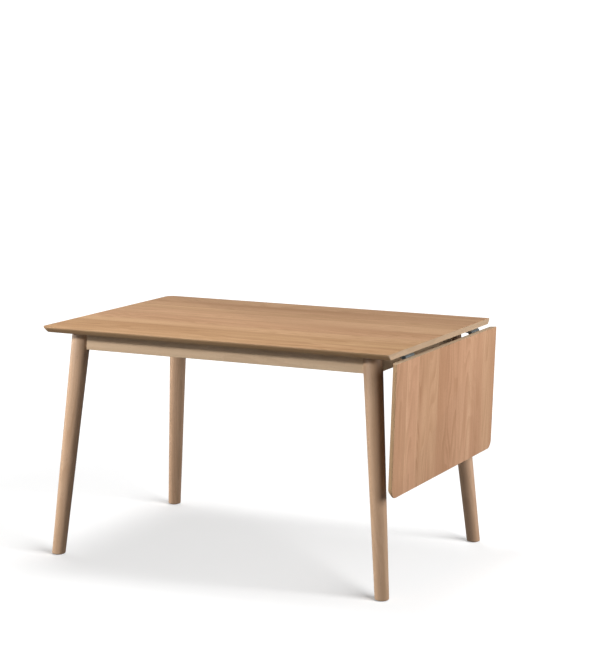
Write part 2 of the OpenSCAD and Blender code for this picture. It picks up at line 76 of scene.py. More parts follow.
class Wire:
    """One value in a shader, whose arithmetic adds Math nodes."""

    def __init__(self, tree: "ShaderTree", socket: bpy.types.NodeSocket) -> None:
        """Keeps the tree that the value belongs to, and the socket that gives it."""
        self.tree = tree
        self.socket = socket

    def _math(self, operation: str, *values: Number, clamp: bool = False) -> "Wire":
        """Adds one Math node.

        Args:
            operation: the node's operation.
            values: what goes into it, in order.
            clamp: whether the result is kept from 0 to 1.

        Returns:
            The node's result.
        """
        settings = {"operation": operation, "use_clamp": clamp}
        return self.tree.add("ShaderNodeMath", settings, dict(enumerate(values)))

    def __add__(self, other: Number) -> "Wire":
        """self + other."""
        return self._math("ADD", self, other)

    __radd__ = __add__

    def __sub__(self, other: Number) -> "Wire":
        """self - other."""
        return self._math("SUBTRACT", self, other)

    def __rsub__(self, other: Number) -> "Wire":
        """other - self."""
        return self._math("SUBTRACT", other, self)

    def __mul__(self, other: Number) -> "Wire":
        """self * other."""
        return self._math("MULTIPLY", self, other)

    __rmul__ = __mul__

    def __truediv__(self, other: Number) -> "Wire":
        """self / other."""
        return self._math("DIVIDE", self, other)

    def __pow__(self, other: Number) -> "Wire":
        """self to the power of other."""
        return self._math("POWER", self, other)

    def floor(self) -> "Wire":
        """The whole part."""
        return self._math("FLOOR", self)

    def fraction(self) -> "Wire":
        """The part after the point."""
        return self._math("FRACT", self)

    def sine(self) -> "Wire":
        """The sine of an angle in radians."""
        return self._math("SINE", self)

    def size(self) -> "Wire":
        """The value without its sign."""
        return self._math("ABSOLUTE", self)

    def held(self) -> "Wire":
        """The value kept from 0 to 1."""
        return self._math("ADD", self, 0.0, clamp=True)

    def ramp(self, low: float, high: float) -> "Wire":
        """A smooth step.

        Args:
            low: the value that gives 0.
            high: the value that gives 1. It may be below low.

        Returns:
            The eased mask from 0 to 1.
        """
        settings = {"interpolation_type": "SMOOTHSTEP", "clamp": True}
        return self.tree.add(
            "ShaderNodeMapRange",
            settings,
            {"Value": self, "From Min": low, "From Max": high},
        )


Plug = Union[float, int, Sequence[float], Wire]


class ShaderTree:
    """The shader of a material, or of the surround, under construction."""

    def __init__(self, owner: Union[bpy.types.Material, bpy.types.World]) -> None:
        """Empties the owner's shader.

        Args:
            owner: what the shader is for.
        """
        owner.use_nodes = True
        self.tree = owner.node_tree
        self.tree.nodes.clear()

    @classmethod
    def material(cls, name: str) -> tuple["ShaderTree", bpy.types.Material]:
        """Starts a new material.

        Args:
            name: the material's name.

        Returns:
            Its empty shader and the material.
        """
        material = bpy.data.materials.new(name)
        return cls(material), material

    def node(
        self,
        kind: str,
        settings: Optional[dict[str, object]] = None,
        inputs: Optional[dict[Union[str, int], Plug]] = None,
    ) -> bpy.types.Node:
        """Adds any node.

        Args:
            kind: the node's type.
            settings: its own settings, which are set first.
            inputs: a value or a wire for each named or numbered socket.

        Returns:
            The node.
        """
        node = self.tree.nodes.new(kind)
        for key, value in (settings or {}).items():
            setattr(node, key, value)
        for key, value in (inputs or {}).items():
            if isinstance(value, Wire):
                self.tree.links.new(value.socket, node.inputs[key])
            else:
                node.inputs[key].default_value = value
        return node

    def add(
        self,
        kind: str,
        settings: Optional[dict[str, object]] = None,
        inputs: Optional[dict[Union[str, int], Plug]] = None,
        output: Union[str, int] = 0,
    ) -> Wire:
        """Adds any node for one of its outputs.

        Args:
            kind: the node's type.
            settings: its own settings, which are set first.
            inputs: a value or a wire for each named or numbered socket.
            output: which of its outputs is wanted.

        Returns:
            That output.
        """
        return Wire(self, self.node(kind, settings, inputs).outputs[output])

    def place(self, origin: Sequence[float], turn: Sequence[float]) -> Wire:
        """A position in a piece's own directions.

        Args:
            origin: the point that the pattern starts from, in the model's frame.
            turn: how the pattern's axes are turned, as Euler angles.

        Returns:
            The position, in metres.
        """
        coordinates = self.add("ShaderNodeTexCoord", output="Object")
        return self.add(
            "ShaderNodeMapping",
            {"vector_type": "TEXTURE"},
            {"Vector": coordinates, "Location": tuple(origin), "Rotation": tuple(turn)},
        )

    def axes(self, vector: Wire) -> tuple[Wire, Wire, Wire]:
        """Splits a vector into its three parts."""
        node = self.node("ShaderNodeSeparateXYZ", None, {0: vector})
        x, y, z = (Wire(self, socket) for socket in node.outputs)
        return x, y, z

    def vector(self, x: Number, y: Number, z: Number) -> Wire:
        """Joins three numbers into a vector."""
        return self.add("ShaderNodeCombineXYZ", None, {0: x, 1: y, 2: z})

    def noise(self, vector: Wire, detail: float = 2.0, roughness: float = 0.5,
              distortion: float = 0.0) -> Wire:
        """Smooth noise.

        Args:
            vector: where it is read, already at the noise's own scale.
            detail: how many finer layers it has.
            roughness: how strong those layers are.
            distortion: how far it is warped.

        Returns:
            A value from 0 to 1.
        """
        inputs = {"Vector": vector, "Scale": 1.0, "Detail": detail,
                  "Roughness": roughness, "Distortion": distortion}
        return self.add("ShaderNodeTexNoise", {"noise_dimensions": "3D"}, inputs, "Fac")

    def chance(self, value: Number) -> tuple[Wire, Wire, Wire]:
        """Three random numbers that depend only on a value."""
        colour = self.add(
            "ShaderNodeTexWhiteNoise", {"noise_dimensions": "1D"}, {"W": value}, "Color"
        )
        return self.axes(colour)

    def blend(self, factor: Number, first: Union[Colour, Wire],
              second: Union[Colour, Wire]) -> Wire:
        """Mixes two colours.

        Args:
            factor: how much of the second colour there is.
            first: the colour at 0.
            second: the colour at 1.

        Returns:
            The mixed colour.
        """
        pair = [c if isinstance(c, Wire) else (*c, 1.0) for c in (first, second)]
        return self.add(
            "ShaderNodeMix", {"data_type": "RGBA", "clamp_factor": True},
            {0: factor, 6: pair[0], 7: pair[1]}, output=2,
        )

    def surface(self, base: Wire, roughness: Number, height: Wire, depth: float,
                metallic: float = 0.0, specular: float = 0.5) -> None:
        """Ends a material with its shader.

        Args:
            base: the colour.
            roughness: how dull it is.
            height: the fine relief, from 0 to 1.
            depth: what a height of 1 stands for, in metres.
            metallic: 1 for bare metal.
            specular: strength of the clear reflection.
        """
        normal = self.add("ShaderNodeBump", None,
                          {"Strength": 1.0, "Distance": depth, "Height": height})
        shader = self.add(
            "ShaderNodeBsdfPrincipled", None,
            {"Base Color": base, "Roughness": roughness, "Metallic": metallic,
             "Specular IOR Level": specular, "Normal": normal},
        )
        self.end(shader)

    def end(self, shader: Wire, kind: str = "ShaderNodeOutputMaterial") -> None:
        """Connects a finished shader to its output.

        Args:
            shader: the shader.
            kind: the output's type.
        """
        self.node(kind, None, {"Surface": shader})


# ---------------------------------------------------------------- finishes


class Grain(Enum):
    """How the timber was cut, which sets how bold its figure is."""

    PLAIN = 1.0
    QUIET = 0.6


@dataclass(frozen=True)
class OakFinish:
    """Oiled oak, as leaves of veneer or as solid timber.

    The pattern's own axes are X along the grain, Y across the face and Z into the wood.
    """

    pale: Colour
    deep: Colour
    rosy: Colour
    grain: Grain = Grain.PLAIN
    leaf_width: float = 0.0
    tone_swing: float = 0.5
    rosiness: float = 0.5
    roughness: float = 0.46
    specular: float = 0.35
    relief: float = 0.00012

    def dress(self, name: str, origin: Sequence[float], turn: Sequence[float],
              seed: float) -> bpy.types.Material:
        """Makes the material for one piece.

        Args:
            name: the material's name.
            origin: a point on the piece.
            turn: the turn that takes X to the grain's direction.
            seed: a number that sets this piece's figure apart.

        Returns:
            The material.
        """
        tree, material = ShaderTree.material(name)
        along, across, into = tree.axes(tree.place(origin, turn))
        seam: Number = 0.0
        if self.leaf_width > 0.0:
            sway = (across * 19.0 + seed).sine() * 0.24
            count = across / self.leaf_width + sway + seed
            first, second, third = tree.chance(count.floor() + seed * 3.1)
            seam = (count.fraction() - 0.5).size().ramp(0.490, 0.4985)
        else:
            first, second, third = tree.chance(seed)
        run = along + second * 7.0
        side = across + first * 3.0 + seed
        figure = tree.noise(
            tree.vector(run * 1.1, side * 6.5, into * 6.5 + third * 9.0), 2.0, 0.45, 0.25
        )
        rings = (figure * 23.0 + side * 22.0 + into * 22.0).fraction()
        late = rings.ramp(0.20, 0.86) * rings.ramp(1.0, 0.93)
        broad = tree.noise(tree.vector(run * 1.5, side * 8.0, into * 8.0 + 4.0), 2.0, 0.5)
        band = tree.noise(
            tree.vector(run * 0.9, side * 26.0, into * 26.0 + 6.0), 2.0, 0.55, 0.15
        )
        calm = tree.noise(
            tree.vector(run * 2.1, side * 11.0, into * 11.0 + 2.0), 1.0, 0.5
        ).ramp(0.36, 0.60)
        streak = tree.noise(
            tree.vector(run * 2.6, side * 95.0, into * 95.0), 3.0, 0.6
        )
        fibre = tree.noise(tree.vector(run * 16.0, side * 620.0, into * 620.0), 2.0, 0.6)
        speck = tree.noise(tree.vector(run * 70.0, side * 1500.0, into * 1500.0), 1.0, 0.4)
        pores = speck.ramp(0.60, 0.72) * (0.35 + 0.65 * rings.ramp(0.55, 0.05))
        fleck = tree.noise(
            tree.vector(run * 55.0, side * 210.0, into * 90.0 + 8.0), 1.0, 0.4
        ).ramp(0.70, 0.80)

        bold = self.grain.value
        depth = (
            0.5 + (first - 0.5) * self.tone_swing + (broad - 0.5) * 0.6
            + (band - 0.5) * 0.85 * bold + (streak - 0.5) * 0.42
            + (late - 0.42) * (0.12 + 0.20 * calm) * bold + (fibre - 0.5) * 0.24
        ).held()
        warmth = (
            self.rosiness + (third - 0.5) * 0.8 + (broad - 0.5) * 0.8 + (band - 0.5) * 1.1
        ).held()
        timber = tree.blend(depth, self.pale, self.deep)
        timber = tree.blend(warmth * 0.85, timber, tree.blend(depth, self.rosy, self.deep))
        timber = tree.blend(fleck * 0.16, timber, self.pale)
        dark_pore = tuple(0.42 * part for part in self.deep)
        timber = tree.blend(pores * 0.42, timber, dark_pore)
        seam_strength = seam * 0.30 if isinstance(seam, Wire) else 0.0
        timber = tree.blend(seam_strength, timber, dark_pore)

        roughness = self.roughness + (fibre - 0.5) * 0.10 + pores * 0.22
        height = 0.6 + (fibre - 0.5) * 0.35 + late * 0.08 - pores * 0.55
        tree.surface(timber, roughness, height, self.relief, specular=self.specular)
        return material


@dataclass(frozen=True)
class SteelFinish:
    """Zinc-plated steel, with the cloudy plating and faint rolling lines of fittings."""

    bright: Colour
    dull: Colour
    roughness: float = 0.34
    relief: float = 0.00003

    def dress(self, name: str) -> bpy.types.Material:
        """Makes the material.

        Args:
            name: the material's name.

        Returns:
            The material.
        """
        tree, material = ShaderTree.material(name)
        place = tree.place((0.0, 0.0, 0.0), (0.0, 0.0, 0.0))
        x, y, z = tree.axes(place)
        cloud = tree.noise(tree.vector(x * 90.0, y * 90.0, z * 90.0), 3.0, 0.6)
        lines = tree.noise(tree.vector(x * 2600.0, y * 60.0, z * 2600.0), 2.0, 0.6)
        grime = tree.noise(tree.vector(x * 240.0, y * 240.0, z * 240.0 + 3.0), 2.0, 0.5)
        tone = (cloud * 0.8 + (lines - 0.5) * 0.4 + 0.1).held()
        colour = tree.blend(tone, self.dull, self.bright)
        stain = tuple(0.35 * part for part in self.dull)
        colour = tree.blend(grime.ramp(0.62, 0.80) * 0.5, colour, stain)
        roughness = self.roughness + (cloud - 0.5) * 0.18 + grime.ramp(0.6, 0.8) * 0.2
        height = lines * 0.5 + cloud * 0.3
        tree.surface(colour, roughness, height, self.relief, metallic=1.0)
        return material


@dataclass(frozen=True)
class FeltFinish:
    """Pressed felt on a moulded glide."""

    light: Colour
    dark: Colour
    roughness: float = 0.86
    relief: float = 0.0003

    def dress(self, name: str) -> bpy.types.Material:
        """Makes the material.

        Args:
            name: the material's name.

        Returns:
            The material.
        """
        tree, material = ShaderTree.material(name)
        x, y, z = tree.axes(tree.place((0.0, 0.0, 0.0), (0.0, 0.0, 0.0)))
        fuzz = tree.noise(tree.vector(x * 900.0, y * 900.0, z * 900.0), 3.0, 0.7)
        patch = tree.noise(tree.vector(x * 70.0, y * 70.0, z * 70.0), 2.0, 0.5)
        colour = tree.blend((fuzz * 0.7 + patch * 0.3).held(), self.dark, self.light)
        roughness = self.roughness + (fuzz - 0.5) * 0.2
        tree.surface(colour, roughness, fuzz, self.relief, specular=0.2)
        return material


FACE_OAK = OakFinish(pale=(0.655, 0.428, 0.240), deep=(0.400, 0.221, 0.108),
                     rosy=(0.645, 0.374, 0.238), leaf_width=0.104, tone_swing=0.42,
                     specular=0.10)
BEVEL_OAK = OakFinish(pale=(0.520, 0.345, 0.195), deep=(0.330, 0.190, 0.092),
                      rosy=(0.500, 0.310, 0.180), grain=Grain.QUIET, tone_swing=0.2,
                      rosiness=0.25)
EDGE_OAK = OakFinish(pale=(0.620, 0.470, 0.315), deep=(0.405, 0.278, 0.170),
                     rosy=(0.600, 0.425, 0.300), grain=Grain.QUIET, tone_swing=0.2,
                     rosiness=0.25)
LEAF_OAK = replace(FACE_OAK, pale=(0.670, 0.415, 0.250), deep=(0.420, 0.218, 0.114),
                   rosy=(0.680, 0.365, 0.232), roughness=0.5, specular=0.30)
LEG_OAK = OakFinish(pale=(0.730, 0.505, 0.338), deep=(0.462, 0.280, 0.165),
                    rosy=(0.720, 0.450, 0.302), grain=Grain.QUIET, tone_swing=0.2,
                    rosiness=0.35, roughness=0.36, specular=0.60)
RAIL_OAK = OakFinish(pale=(0.800, 0.605, 0.412), deep=(0.535, 0.365, 0.226),
                     rosy=(0.775, 0.545, 0.362), grain=Grain.QUIET, tone_swing=0.25,
                     rosiness=0.25, roughness=0.44)
BACKING_OAK = OakFinish(pale=(0.480, 0.335, 0.215), deep=(0.310, 0.195, 0.116),
                        rosy=(0.470, 0.300, 0.200), leaf_width=0.150, tone_swing=0.3,
                        roughness=0.58)
BLOCK_WOOD = OakFinish(pale=(0.600, 0.470, 0.330), deep=(0.420, 0.300, 0.190),
                       rosy=(0.560, 0.420, 0.300), grain=Grain.QUIET, tone_swing=0.2,
                       rosiness=0.2, roughness=0.66)
HINGE_STEEL = SteelFinish(bright=(0.56, 0.62, 0.65), dull=(0.22, 0.27, 0.30))
ZINC_STEEL = SteelFinish(bright=(0.62, 0.63, 0.62), dull=(0.38, 0.39, 0.38), roughness=0.30)
GLIDE_FELT = FeltFinish(light=(0.110, 0.092, 0.076), dark=(0.040, 0.033, 0.028))


# ---------------------------------------------------------------- mesh helpers


class Shape:
    """A mesh under construction, shaped by bmesh operators."""

    def __init__(self, mesh: Optional[bmesh.types.BMesh] = None) -> None:
        """Starts empty, or from a mesh that it takes over."""
        self.bm = mesh or bmesh.new()

    def copy(self) -> "Shape":
        """A second shape, the same as this one."""
        return Shape(self.bm.copy())

    def block(self, low: Sequence[float], high: Sequence[float]) -> "Shape":
        """Adds a box between two corners."""
        size = Vector(high) - Vector(low)
        middle = (Vector(high) + Vector(low)) / 2.0
        matrix = Matrix.Translation(middle) @ Matrix.Diagonal((*size, 1.0))
        bmesh.ops.create_cube(self.bm, size=1.0, matrix=matrix)
        return self

    def edges(self, wanted: Callable[[Vector, Vector], bool]) -> list[bmesh.types.BMEdge]:
        """The edges whose two ends pass a test."""
        return [e for e in self.bm.edges if wanted(e.verts[0].co, e.verts[1].co)]

    def ease(self, edges: Iterable[bmesh.types.BMEdge], radius: float,
             segments: int = 2) -> "Shape":
        """Rounds edges over.

        Args:
            edges: which ones.
            radius: how far the rounding reaches from the edge.
            segments: how many faces it has.

        Returns:
            This shape.
        """
        bmesh.ops.bevel(self.bm, geom=list(edges), offset=radius, offset_type="OFFSET",
                        affect="EDGES", segments=segments, profile=0.5, material=-1,
                        clamp_overlap=True)
        return self

    def score(self, point: Sequence[float], normal: Sequence[float]) -> "Shape":
        """Cuts a line round the shape along a plane, and keeps both sides."""
        everything = self.bm.verts[:] + self.bm.edges[:] + self.bm.faces[:]
        bmesh.ops.bisect_plane(self.bm, geom=everything, plane_co=point, plane_no=normal,
                               dist=ON_PLANE)
        return self

    def cut(self, point: Sequence[float], normal: Sequence[float]) -> "Shape":
        """Cuts away what lies on the side that the normal points to, and closes the cut."""
        everything = self.bm.verts[:] + self.bm.edges[:] + self.bm.faces[:]
        result = bmesh.ops.bisect_plane(self.bm, geom=everything, plane_co=point,
                                        plane_no=normal, dist=ON_PLANE, clear_outer=True)
        rim = [g for g in result["geom_cut"] if isinstance(g, bmesh.types.BMEdge)]
        rim = [e for e in rim if e.is_valid and e.is_boundary]
        bmesh.ops.holes_fill(self.bm, edges=rim, sides=0)
        return self

    def move(self, matrix: Matrix) -> "Shape":
        """Moves or turns the whole shape."""
        bmesh.ops.transform(self.bm, matrix=matrix, verts=self.bm.verts[:])
        return self

    def carve(self, cutter: "Shape") -> "Shape":
        """Takes another closed shape out of this one.

        Args:
            cutter: what is taken away. It is used up.

        Returns:
            This shape.
        """
        parts = []
        for shape in (self, cutter):
            mesh = bpy.data.meshes.new("carving")
            shape.bm.to_mesh(mesh)
            shape.bm.free()
            part = bpy.data.objects.new("carving", mesh)
            bpy.context.scene.collection.objects.link(part)
            parts.append(part)
        tool = parts[0].modifiers.new("carve", "BOOLEAN")
        tool.operation, tool.solver, tool.object = "DIFFERENCE", "EXACT", parts[1]
        bpy.context.view_layer.update()
        evaluated = parts[0].evaluated_get(bpy.context.evaluated_depsgraph_get())
        self.bm = bmesh.new()
        self.bm.from_mesh(evaluated.to_mesh())
        evaluated.to_mesh_clear()
        for part in parts:
            bpy.data.meshes.remove(part.data)
        return self

    def finish(self, name: str, material: bpy.types.Material) -> bpy.types.Object:
        """Makes the object.

        Args:
            name: the piece's name.
            material: its finish.

        Returns:
            The object, at the origin, with its place in its mesh.
        """
        bmesh.ops.remove_doubles(self.bm, verts=self.bm.verts[:], dist=MERGE_GAP)
        bmesh.ops.dissolve_degenerate(self.bm, edges=self.bm.edges[:], dist=MERGE_GAP)
        bmesh.ops.recalc_face_normals(self.bm, faces=self.bm.faces[:])
        for face in self.bm.faces:
            face.smooth = True
        for edge in self.bm.edges:
            edge.smooth = edge.is_manifold and edge.calc_face_angle(math.pi) < SMOOTH_LIMIT
        mesh = bpy.data.meshes.new(name)
        self.bm.to_mesh(mesh)
        self.bm.free()
        mesh.materials.append(material)
        piece = bpy.data.objects.new(name, mesh)
        bpy.context.scene.collection.objects.link(piece)
        return piece


def settle(piece: bpy.types.Object, body: str, slot: str, *nodes: str) -> bpy.types.Object:
    """Puts a finished piece on its body, in place of its CAD nodes.

    Args:
        piece: the piece.
        body: the body that it moves with.
        slot: not used.
        nodes: the CAD nodes that it stands for.

    Returns:
        The piece.
    """
    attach(piece, body)
    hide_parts(*nodes)
    log.info("%s rides on %s for %s, %d faces", piece.name, body, ", ".join(nodes),
             len(piece.data.polygons))
    return piece


def paint(node: str, material: bpy.types.Material) -> None:
    """Gives a CAD node its finish."""
    slots = frame["nodes"][node].data.materials
    slots.clear()
    slots.append(material)
    log.info("%s keeps its CAD shape, in %s", node, material.name)


def span(node: str) -> tuple[Vector, Vector, Vector]:
    """A CAD node's lowest corner, highest corner and size."""
    low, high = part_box(node)
    return low, high, high - low


# ---------------------------------------------------------------- the table's parts


@dataclass
class Board:
    """A veneered board with solid lippings, drawn from its joint edge at x = 0.

    Its own frame has the underside at z = 0 and the free edge at +X. place takes it to the
    model's frame.
    """

    kind: str
    body: str
    length: float
    width: float
    thickness: float
    lipping: float
    veneer: float
    band: float
    place: Matrix
    turn: tuple[float, float, float]
    front: str
    back: str
    seed: float
    face_oak: OakFinish = FACE_OAK
    land: float = 0.0045
    bevel: float = 0.0125
    corner: float = 0.028
    arris: float = 0.0009
    shoulder: float = 0.003
    corner_steps: int = 14
    arris_steps: int = 3
    shoulder_steps: int = 4
    under_steps: int = 2

    def blank(self) -> Shape:
        """The whole board as one solid, with its bevels and eased edges.

        Returns:
            The shape, in the board's own frame.
        """
        half = self.width / 2.0
        shape = Shape().block((0.0, -half, 0.0), (self.length, half, self.thickness))
        upright = shape.edges(
            lambda a, b: abs(a.z - b.z) > self.thickness / 2 and a.x > self.length / 2
        )
        shape.ease(upright, self.corner, self.corner_steps)
        waist = self.thickness - self.land
        shape.score((0.0, 0.0, waist), (0.0, 0.0, 1.0))
        shrink = (self.corner - self.bevel) / self.corner
        for vertex in shape.bm.verts:
            if vertex.co.z > self.thickness / 4:
                continue
            centre_x = min(vertex.co.x, self.length - self.corner)
            side = half - self.corner
            centre_y = max(-side, min(side, vertex.co.y))
            vertex.co.x = centre_x + (vertex.co.x - centre_x) * shrink
            vertex.co.y = centre_y + (vertex.co.y - centre_y) * shrink

        def at(height: float) -> list[bmesh.types.BMEdge]:
            """The free edges at a height, without the joint edge."""
            return shape.edges(
                lambda a, b: abs(a.z - height) < SAME_PLACE
                and abs(b.z - height) < SAME_PLACE and max(a.x, b.x) > SAME_PLACE
            )

        shape.ease(at(self.thickness), self.arris, self.arris_steps)
        shape.ease(at(waist), self.shoulder, self.shoulder_steps)
        shape.ease(at(0.0), self.arris, self.under_steps)
        return shape

    def pieces(self) -> dict[str, Shape]:
        """Splits the blank into the veneer, the lippings and the joint band.

        Returns:
            The shapes by the name of what they are, in the board's own frame.
        """
        blank = self.blank()
        half = self.width / 2.0
        top = self.thickness - self.veneer
        inner = half - self.lipping
        end = self.length - self.lipping
        face = blank.copy().cut((0.0, 0.0, top), (0.0, 0.0, -1.0))
        under = blank.cut((0.0, 0.0, top), (0.0, 0.0, 1.0))
        band = under.copy().cut((self.band, 0.0, 0.0), (1.0, 0.0, 0.0))
        rest = under.cut((self.band, 0.0, 0.0), (-1.0, 0.0, 0.0))
        result = {"veneer": face, "joint_band": band}
        for name, s in ((self.front, -1.0), (self.back, 1.0)):
            side = rest.copy().cut((0.0, s * inner, 0.0), (0.0, -s, 0.0))
            side.cut((self.length, s * half, 0.0), (1.0, -s, 0.0))
            result["lipping_" + name] = side
        tip = rest.cut((end, 0.0, 0.0), (-1.0, 0.0, 0.0))
        for s in (-1.0, 1.0):
            tip.cut((self.length, s * half, 0.0), (-1.0, s, 0.0))
        result["lipping_end"] = tip
        return result

    def build(self) -> None:
        """Makes the pieces, dresses them, and dresses the board's own core."""
        origin = self.place.translation
        across = (self.place.to_3x3() @ Matrix.Rotation(math.pi / 2.0, 3, "Z")).to_euler()
        face = self.face_oak.dress(self.kind + "_face_oak", origin, self.turn, self.seed)
        side_seed, end_seed, backing_seed = (self.seed + step for step in (2.7, 5.3, 8.9))
        long_edge = BEVEL_OAK.dress(self.kind + "_edge_oak", origin, self.turn, side_seed)
        free_edge = BEVEL_OAK.dress(self.kind + "_end_oak", origin, across, end_seed)
        joint_edge = EDGE_OAK.dress(self.kind + "_joint_oak", origin, across, end_seed)
        finishes = {"veneer": (face, "veneer"), "lipping_end": (free_edge, "solid_oak"),
                    "joint_band": (joint_edge, "solid_oak")}
        for name, shape in self.pieces().items():
            material, slot = finishes.get(name, (long_edge, "solid_oak"))
            piece = shape.move(self.place).finish(f"{self.kind}_board_{name}", material)
            settle(piece, self.body, slot, f"{self.kind}_{name}")
        backing = BACKING_OAK.dress(self.kind + "_backing", origin, self.turn, backing_seed)
        paint(self.kind + "_core", backing)


@dataclass
class Leg:
    """A round tapered leg that leans outwards both ways."""

    right: bool
    back: bool
    height: float
    splay: float = math.radians(5.0)
    top_radius: float = 0.030
    foot_radius: float = 0.0215
    round_over: float = 0.003
    round_steps: int = 4
    steps: int = 96
    overrun: float = 0.02
    name: str = field(init=False)
    foot: Vector = field(init=False)
    axis: Vector = field(init=False)
    floor_gap: float = field(init=False)

    def __post_init__(self) -> None:
        """Works out the leg's name, its foot from its glide, and its lean."""
        self.name = f"{'back' if self.back else 'front'}_{'right' if self.right else 'left'}"
        low, high, _ = span("glide_" + self.name)
        self.foot = Vector(((low.x + high.x) / 2.0, (low.y + high.y) / 2.0, 0.0))
        self.floor_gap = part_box("leg_" + self.name)[0].z
        out_x = 1.0 if self.right else -1.0
        out_y = 1.0 if self.back else -1.0
        slope = math.tan(self.splay)
        self.axis = Vector((-out_x * slope, -out_y * slope, 1.0))

    def cone(self, extra: float = 0.0) -> Shape:
        """The leg's taper about its axis, longer than the leg at both ends.

        Args:
            extra: how much the radius is increased.

        Returns:
            The shape, in the model's frame.
        """
        lean = self.axis.length
        taper = (self.top_radius - self.foot_radius) / self.height
        run = (self.height + 2.0 * self.overrun) * lean
        shape = Shape()
        bmesh.ops.create_cone(
            shape.bm, cap_ends=True, cap_tris=False, segments=self.steps,
            radius1=self.foot_radius - taper * self.overrun + extra,
            radius2=self.top_radius + taper * self.overrun + extra, depth=run)
        middle = self.foot + self.axis * (self.height / 2.0)
        turn = self.axis.to_track_quat("Z", "Y").to_matrix().to_4x4()
        return shape.move(Matrix.Translation(middle) @ turn)

    def build(self) -> bpy.types.Object:
        """Makes the leg.

        Returns:
            The leg's piece.
        """
        shape = self.cone()
        shape.cut((0.0, 0.0, self.height), (0.0, 0.0, 1.0))
        shape.cut((0.0, 0.0, self.floor_gap), (0.0, 0.0, -1.0))
        level = self.floor_gap + SAME_PLACE
        rim = shape.edges(lambda a, b: a.z < level and b.z < level)
        shape.ease(rim, self.round_over, self.round_steps)
        turn = self.axis.to_track_quat("X", "Y").to_euler()
        seed = 11.0 + 3.3 * self.right + 7.9 * self.back
        oak = LEG_OAK.dress(f"leg_oak_{self.name}", self.foot, turn, seed)
        piece = shape.finish(f"tapered_leg_{self.name}", oak)
        return settle(piece, "table", "solid_oak", "leg_" + self.name)


@dataclass
class Frame:
    """Legs, aprons, cross rail and the blocks and fixings that hold them."""

    height: float
    arris: float = 0.0014
    arris_steps: int = 3
    glue_line: float = 0.0001
    legs: list[Leg] = field(init=False)

    def __post_init__(self) -> None:
        """Sets out the four legs."""
        self.legs = [Leg(right, back, self.height) for right in (False, True)
                     for back in (False, True)]

    def beam(self, node: str, along_x: bool, seed: float, name: str) -> None:
        """An apron or rail with eased lower edges, its ends shaped to the round legs.

        Args:
            node: the CAD node that it stands for.
            along_x: whether it runs along X.
            seed: sets its figure apart.
            name: the piece's name.
        """
        low, high, size = span(node)
        shape = Shape().block(low, high)
        run = 0 if along_x else 1
        lower = shape.edges(
            lambda a, b: abs(a.z - low.z) < SAME_PLACE and abs(b.z - low.z) < SAME_PLACE
            and abs(a[run] - b[run]) > SAME_PLACE
        )
        shape.ease(lower, self.arris, self.arris_steps)
        for leg in self.legs:
            reach = leg.top_radius
            middle = leg.foot + leg.axis * (self.height - size.z / 2.0)
            if all(low[i] - reach < middle[i] < high[i] + reach for i in (0, 1)):
                shape.carve(leg.cone(self.glue_line))
        turn = (0.0, 0.0, 0.0) if along_x else (0.0, 0.0, math.pi / 2.0)
        piece = shape.finish(name, RAIL_OAK.dress(name + "_oak", low, turn, seed))
        settle(piece, "table", "solid_oak", node)

    def build(self) -> list[bpy.types.Object]:
        """Makes the legs and rails, and dresses the blocks and fixings.

        Returns:
            The legs' pieces.
        """
        pieces = [leg.build() for leg in self.legs]
        self.beam("apron_front", True, 31.0, "rail_front")
        self.beam("apron_back", True, 35.0, "rail_back")
        self.beam("apron_left", False, 41.0, "rail_left")
        self.beam("apron_right", False, 47.0, "rail_right")
        self.beam("cross_rail", False, 53.0, "rail_middle")
        block = BLOCK_WOOD.dress("block_wood", (0.0, 0.0, 0.0), (0.0, 0.0, 0.6), 61.0)
        zinc = ZINC_STEEL.dress("bright_zinc")
        felt = GLIDE_FELT.dress("glide_felt")
        for leg in self.legs:
            paint("corner_block_" + leg.name, block)
            paint("glide_" + leg.name, felt)
        paint("dowels", block)
        for node in ("hanger_bolts", "bolt_washers", "bolt_nuts", "top_brackets",
                     "bracket_screws"):
            paint(node, zinc)
        return pieces


@dataclass
class Hinges:
    """The two self-locking leaf hinges."""

    sides: tuple[str, str] = ("front", "back")

    def build(self) -> None:
        """Dresses the hinges' plates, pins, levers and screws."""
        steel = HINGE_STEEL.dress("hinge_steel")
        for side in self.sides:
            for node in ("hinge_plate_", "hinge_pin_", "hinge_flap_", "lock_lever_",
                         "lever_pin_", "lever_spring_"):
                paint(node + side, steel)
        paint("hinge_plate_screws", steel)
        paint("hinge_flap_screws", steel)


# ---------------------------------------------------------------- studio


class Reach(Enum):
    """What a light falls on."""

    TABLE = "everything but the floor"
    FLAGGED = "everything but the floor, the back right leg and the back of the leaf"
    LEGS = "the other three legs"
    GROUND = "the floor"
    FEET = "the floor, shaded by the legs alone"


